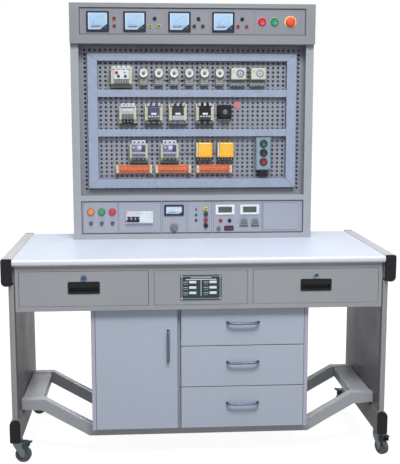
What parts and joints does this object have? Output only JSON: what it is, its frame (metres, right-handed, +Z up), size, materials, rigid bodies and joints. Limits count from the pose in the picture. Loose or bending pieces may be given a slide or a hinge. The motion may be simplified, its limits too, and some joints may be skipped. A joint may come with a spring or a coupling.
{
  "type": "machine tool electrical trainer",
  "caption": "Wheeled training bench with drawers and cabinet, carrying an upright case of meters, buttons, switchgear on a perforated board and a control panel.",
  "frame": {"origin": "on the floor under the middle of the bench", "axes": "+X to the right as seen from the front, -Y towards the person at the bench, +Z up"},
  "size_m": [1.6, 0.75, 1.92],
  "materials": {
    "frame_paint": "satin powder coat",
    "front_laminate": "satin laminate on board",
    "worktop_laminate": "satin laminate on board",
    "black_plastic": "fine matte",
    "duct_plastic": "satin",
    "board_paint": "satin",
    "device_plastic": "satin",
    "breaker_plastic": "satin",
    "plate_metal": "printed plate",
    "plated_steel": "zinc plated",
    "bright_chrome": "polished",
    "wheel_rubber": "worn matte",
    "handle_paint": "satin",
    "red_button": "gloss",
    "green_button": "gloss",
    "black_button": "gloss",
    "knob_grey": "satin"
  },
  "bodies": {
    "bench": {"apron_case": "frame_paint", "breaker_body": "breaker_plastic", "cabinet_carcass": "front_laminate", "control_panel": "frame_paint", "cradle_frame": "frame_paint", "device_row_lower": "device_plastic", "device_row_middle": "device_plastic", "device_row_upper": "device_plastic", "door_hinge_lower": "plated_steel", "door_hinge_upper": "plated_steel", "foot_cap_left": "black_plastic", "foot_cap_right": "black_plastic", "head_panel": "frame_paint", "hutch_case": "frame_paint", "leg_left": "frame_paint", "leg_right": "frame_paint", "perforated_board": "board_paint", "plaque": "plate_metal", "station_box": "duct_plastic", "top_cap_left": "black_plastic", "top_cap_right": "black_plastic", "top_rail_left": "frame_paint", "top_rail_right": "frame_paint", "wiring_duct": "duct_plastic", "worktop": "worktop_laminate"},
    "castor_front_left": {"castor_fork_front_left": "plated_steel"},
    "castor_wheel_front_left": {"castor_wheel_front_left": "wheel_rubber"},
    "castor_brake_front_left": {"castor_brake_front_left": "black_plastic"},
    "castor_front_right": {"castor_fork_front_right": "plated_steel"},
    "castor_wheel_front_right": {"castor_wheel_front_right": "wheel_rubber"},
    "castor_brake_front_right": {"castor_brake_front_right": "black_plastic"},
    "castor_rear_left": {"castor_fork_rear_left": "plated_steel"},
    "castor_wheel_rear_left": {"castor_wheel_rear_left": "wheel_rubber"},
    "castor_brake_rear_left": {"castor_brake_rear_left": "black_plastic"},
    "castor_rear_right": {"castor_fork_rear_right": "plated_steel"},
    "castor_wheel_rear_right": {"castor_wheel_rear_right": "wheel_rubber"},
    "castor_brake_rear_right": {"castor_brake_rear_right": "black_plastic"},
    "cabinet_door": {"cabinet_door": "front_laminate", "door_handle": "handle_paint"},
    "cabinet_drawer_lower": {"cabinet_drawer_lower": "front_laminate", "drawer_handle_lower": "handle_paint"},
    "cabinet_drawer_middle": {"cabinet_drawer_middle": "front_laminate", "drawer_handle_middle": "handle_paint"},
    "cabinet_drawer_upper": {"cabinet_drawer_upper": "front_laminate", "drawer_handle_upper": "handle_paint"},
    "apron_drawer_left": {"apron_drawer_left": "frame_paint", "apron_pull_left": "black_plastic"},
    "lock_left": {"lock_barrel_left": "bright_chrome"},
    "apron_drawer_right": {"apron_drawer_right": "frame_paint", "apron_pull_right": "black_plastic"},
    "lock_right": {"lock_barrel_right": "bright_chrome"},
    "stop_button": {"stop_button": "red_button"},
    "start_button": {"start_button": "green_button"},
    "estop_button": {"estop_button": "red_button"},
    "breaker_lever": {"breaker_lever": "black_plastic"},
    "range_knob": {"range_knob": "knob_grey"},
    "rocker_switch": {"rocker_switch": "red_button"},
    "station_button_upper": {"station_button_upper": "green_button"},
    "station_button_middle": {"station_button_middle": "black_button"},
    "station_button_lower": {"station_button_lower": "red_button"}
  },
  "joints": [
    {"name": "castor_swivel_front_left", "type": "hinge", "parent": "bench", "child": "castor_front_left", "pos_m": [-0.762, -0.315, 0.089], "axis": [0, 0, 1], "continuous": true},
    {"name": "wheel_spin_front_left", "type": "hinge", "parent": "castor_front_left", "child": "castor_wheel_front_left", "pos_m": [-0.73823, -0.31834, 0.033], "axis": [0.1392, 0.9903, 0], "continuous": true},
    {"name": "brake_pedal_front_left", "type": "hinge", "parent": "castor_front_left", "child": "castor_brake_front_left", "pos_m": [-0.72041, -0.32085, 0.0807], "axis": [0.1392, 0.9903, 0], "range_deg": [0, 20]},
    {"name": "castor_swivel_front_right", "type": "hinge", "parent": "bench", "child": "castor_front_right", "pos_m": [0.762, -0.315, 0.089], "axis": [0, 0, 1], "continuous": true},
    {"name": "wheel_spin_front_right", "type": "hinge", "parent": "castor_front_right", "child": "castor_wheel_front_right", "pos_m": [0.77252, -0.33657, 0.033], "axis": [0.8988, 0.4384, 0], "continuous": true},
    {"name": "brake_pedal_front_right", "type": "hinge", "parent": "castor_front_right", "child": "castor_brake_front_right", "pos_m": [0.78041, -0.35275, 0.0807], "axis": [0.8988, 0.4384, 0], "range_deg": [0, 20]},
    {"name": "castor_swivel_rear_left", "type": "hinge", "parent": "bench", "child": "castor_rear_left", "pos_m": [-0.762, 0.25, 0.089], "axis": [0, 0, 1], "continuous": true},
    {"name": "wheel_spin_rear_left", "type": "hinge", "parent": "castor_rear_left", "child": "castor_wheel_rear_left", "pos_m": [-0.73945, 0.25821, 0.033], "axis": [-0.342, 0.9397, 0], "continuous": true},
    {"name": "brake_pedal_rear_left", "type": "hinge", "parent": "castor_rear_left", "child": "castor_brake_rear_left", "pos_m": [-0.72253, 0.26436, 0.0807], "axis": [-0.342, 0.9397, 0], "range_deg": [0, 20]},
    {"name": "castor_swivel_rear_right", "type": "hinge", "parent": "bench", "child": "castor_rear_right", "pos_m": [0.762, 0.25, 0.089], "axis": [0, 0, 1], "continuous": true},
    {"name": "wheel_spin_rear_right", "type": "hinge", "parent": "castor_rear_right", "child": "castor_wheel_rear_right", "pos_m": [0.73945, 0.25821, 0.033], "axis": [-0.342, -0.9397, 0], "continuous": true},
    {"name": "brake_pedal_rear_right", "type": "hinge", "parent": "castor_rear_right", "child": "castor_brake_rear_right", "pos_m": [0.72253, 0.26436, 0.0807], "axis": [-0.342, -0.9397, 0], "range_deg": [0, 20]},
    {"name": "door_hinge", "type": "hinge", "parent": "bench", "child": "cabinet_door", "pos_m": [-0.43325, -0.327, 0.131], "axis": [0, 0, -1], "range_deg": [0, 110]},
    {"name": "cabinet_drawer_slide_lower", "type": "slide", "parent": "bench", "child": "cabinet_drawer_lower", "axis": [0, -1, 0], "range_m": [0, 0.35]},
    {"name": "cabinet_drawer_slide_middle", "type": "slide", "parent": "bench", "child": "cabinet_drawer_middle", "axis": [0, -1, 0], "range_m": [0, 0.35]},
    {"name": "cabinet_drawer_slide_upper", "type": "slide", "parent": "bench", "child": "cabinet_drawer_upper", "axis": [0, -1, 0], "range_m": [0, 0.35]},
    {"name": "apron_drawer_slide_left", "type": "slide", "parent": "bench", "child": "apron_drawer_left", "axis": [0, -1, 0], "range_m": [0, 0.34]},
    {"name": "lock_turn_left", "type": "hinge", "parent": "apron_drawer_left", "child": "lock_left", "pos_m": [-0.4732, -0.355, 0.781], "axis": [0, 1, 0], "range_deg": [0, 90]},
    {"name": "apron_drawer_slide_right", "type": "slide", "parent": "bench", "child": "apron_drawer_right", "axis": [0, -1, 0], "range_m": [0, 0.34]},
    {"name": "lock_turn_right", "type": "hinge", "parent": "apron_drawer_right", "child": "lock_right", "pos_m": [0.4732, -0.355, 0.781], "axis": [0, 1, 0], "range_deg": [0, 90]},
    {"name": "stop_button_press", "type": "slide", "parent": "bench", "child": "stop_button", "axis": [0, 1, 0], "range_m": [0, 0.004], "stiffness_N_per_m": 300},
    {"name": "start_button_press", "type": "slide", "parent": "bench", "child": "start_button", "axis": [0, 1, 0], "range_m": [0, 0.004], "stiffness_N_per_m": 300},
    {"name": "station_button_upper_press", "type": "slide", "parent": "bench", "child": "station_button_upper", "axis": [0, 1, 0], "range_m": [0, 0.004], "stiffness_N_per_m": 300},
    {"name": "station_button_middle_press", "type": "slide", "parent": "bench", "child": "station_button_middle", "axis": [0, 1, 0], "range_m": [0, 0.004], "stiffness_N_per_m": 300},
    {"name": "station_button_lower_press", "type": "slide", "parent": "bench", "child": "station_button_lower", "axis": [0, 1, 0], "range_m": [0, 0.004], "stiffness_N_per_m": 300},
    {"name": "estop_button_press", "type": "slide", "parent": "bench", "child": "estop_button", "axis": [0, 1, 0], "range_m": [0, 0.005]},
    {"name": "breaker_lever_throw", "type": "hinge", "parent": "bench", "child": "breaker_lever", "pos_m": [-0.27707, 0.1672, 0.95226], "axis": [-1, 0, 0], "range_deg": [0, 50]},
    {"name": "range_knob_turn", "type": "hinge", "parent": "bench", "child": "range_knob", "pos_m": [-0.08944, 0.176, 0.90975], "axis": [0, 1, 0], "range_deg": [-150, 150]},
    {"name": "rocker_tip", "type": "hinge", "parent": "bench", "child": "rocker_switch", "pos_m": [0.16654, 0.1768, 0.90575], "axis": [0, 0, -1], "range_deg": [0, 14]}
  ]
}
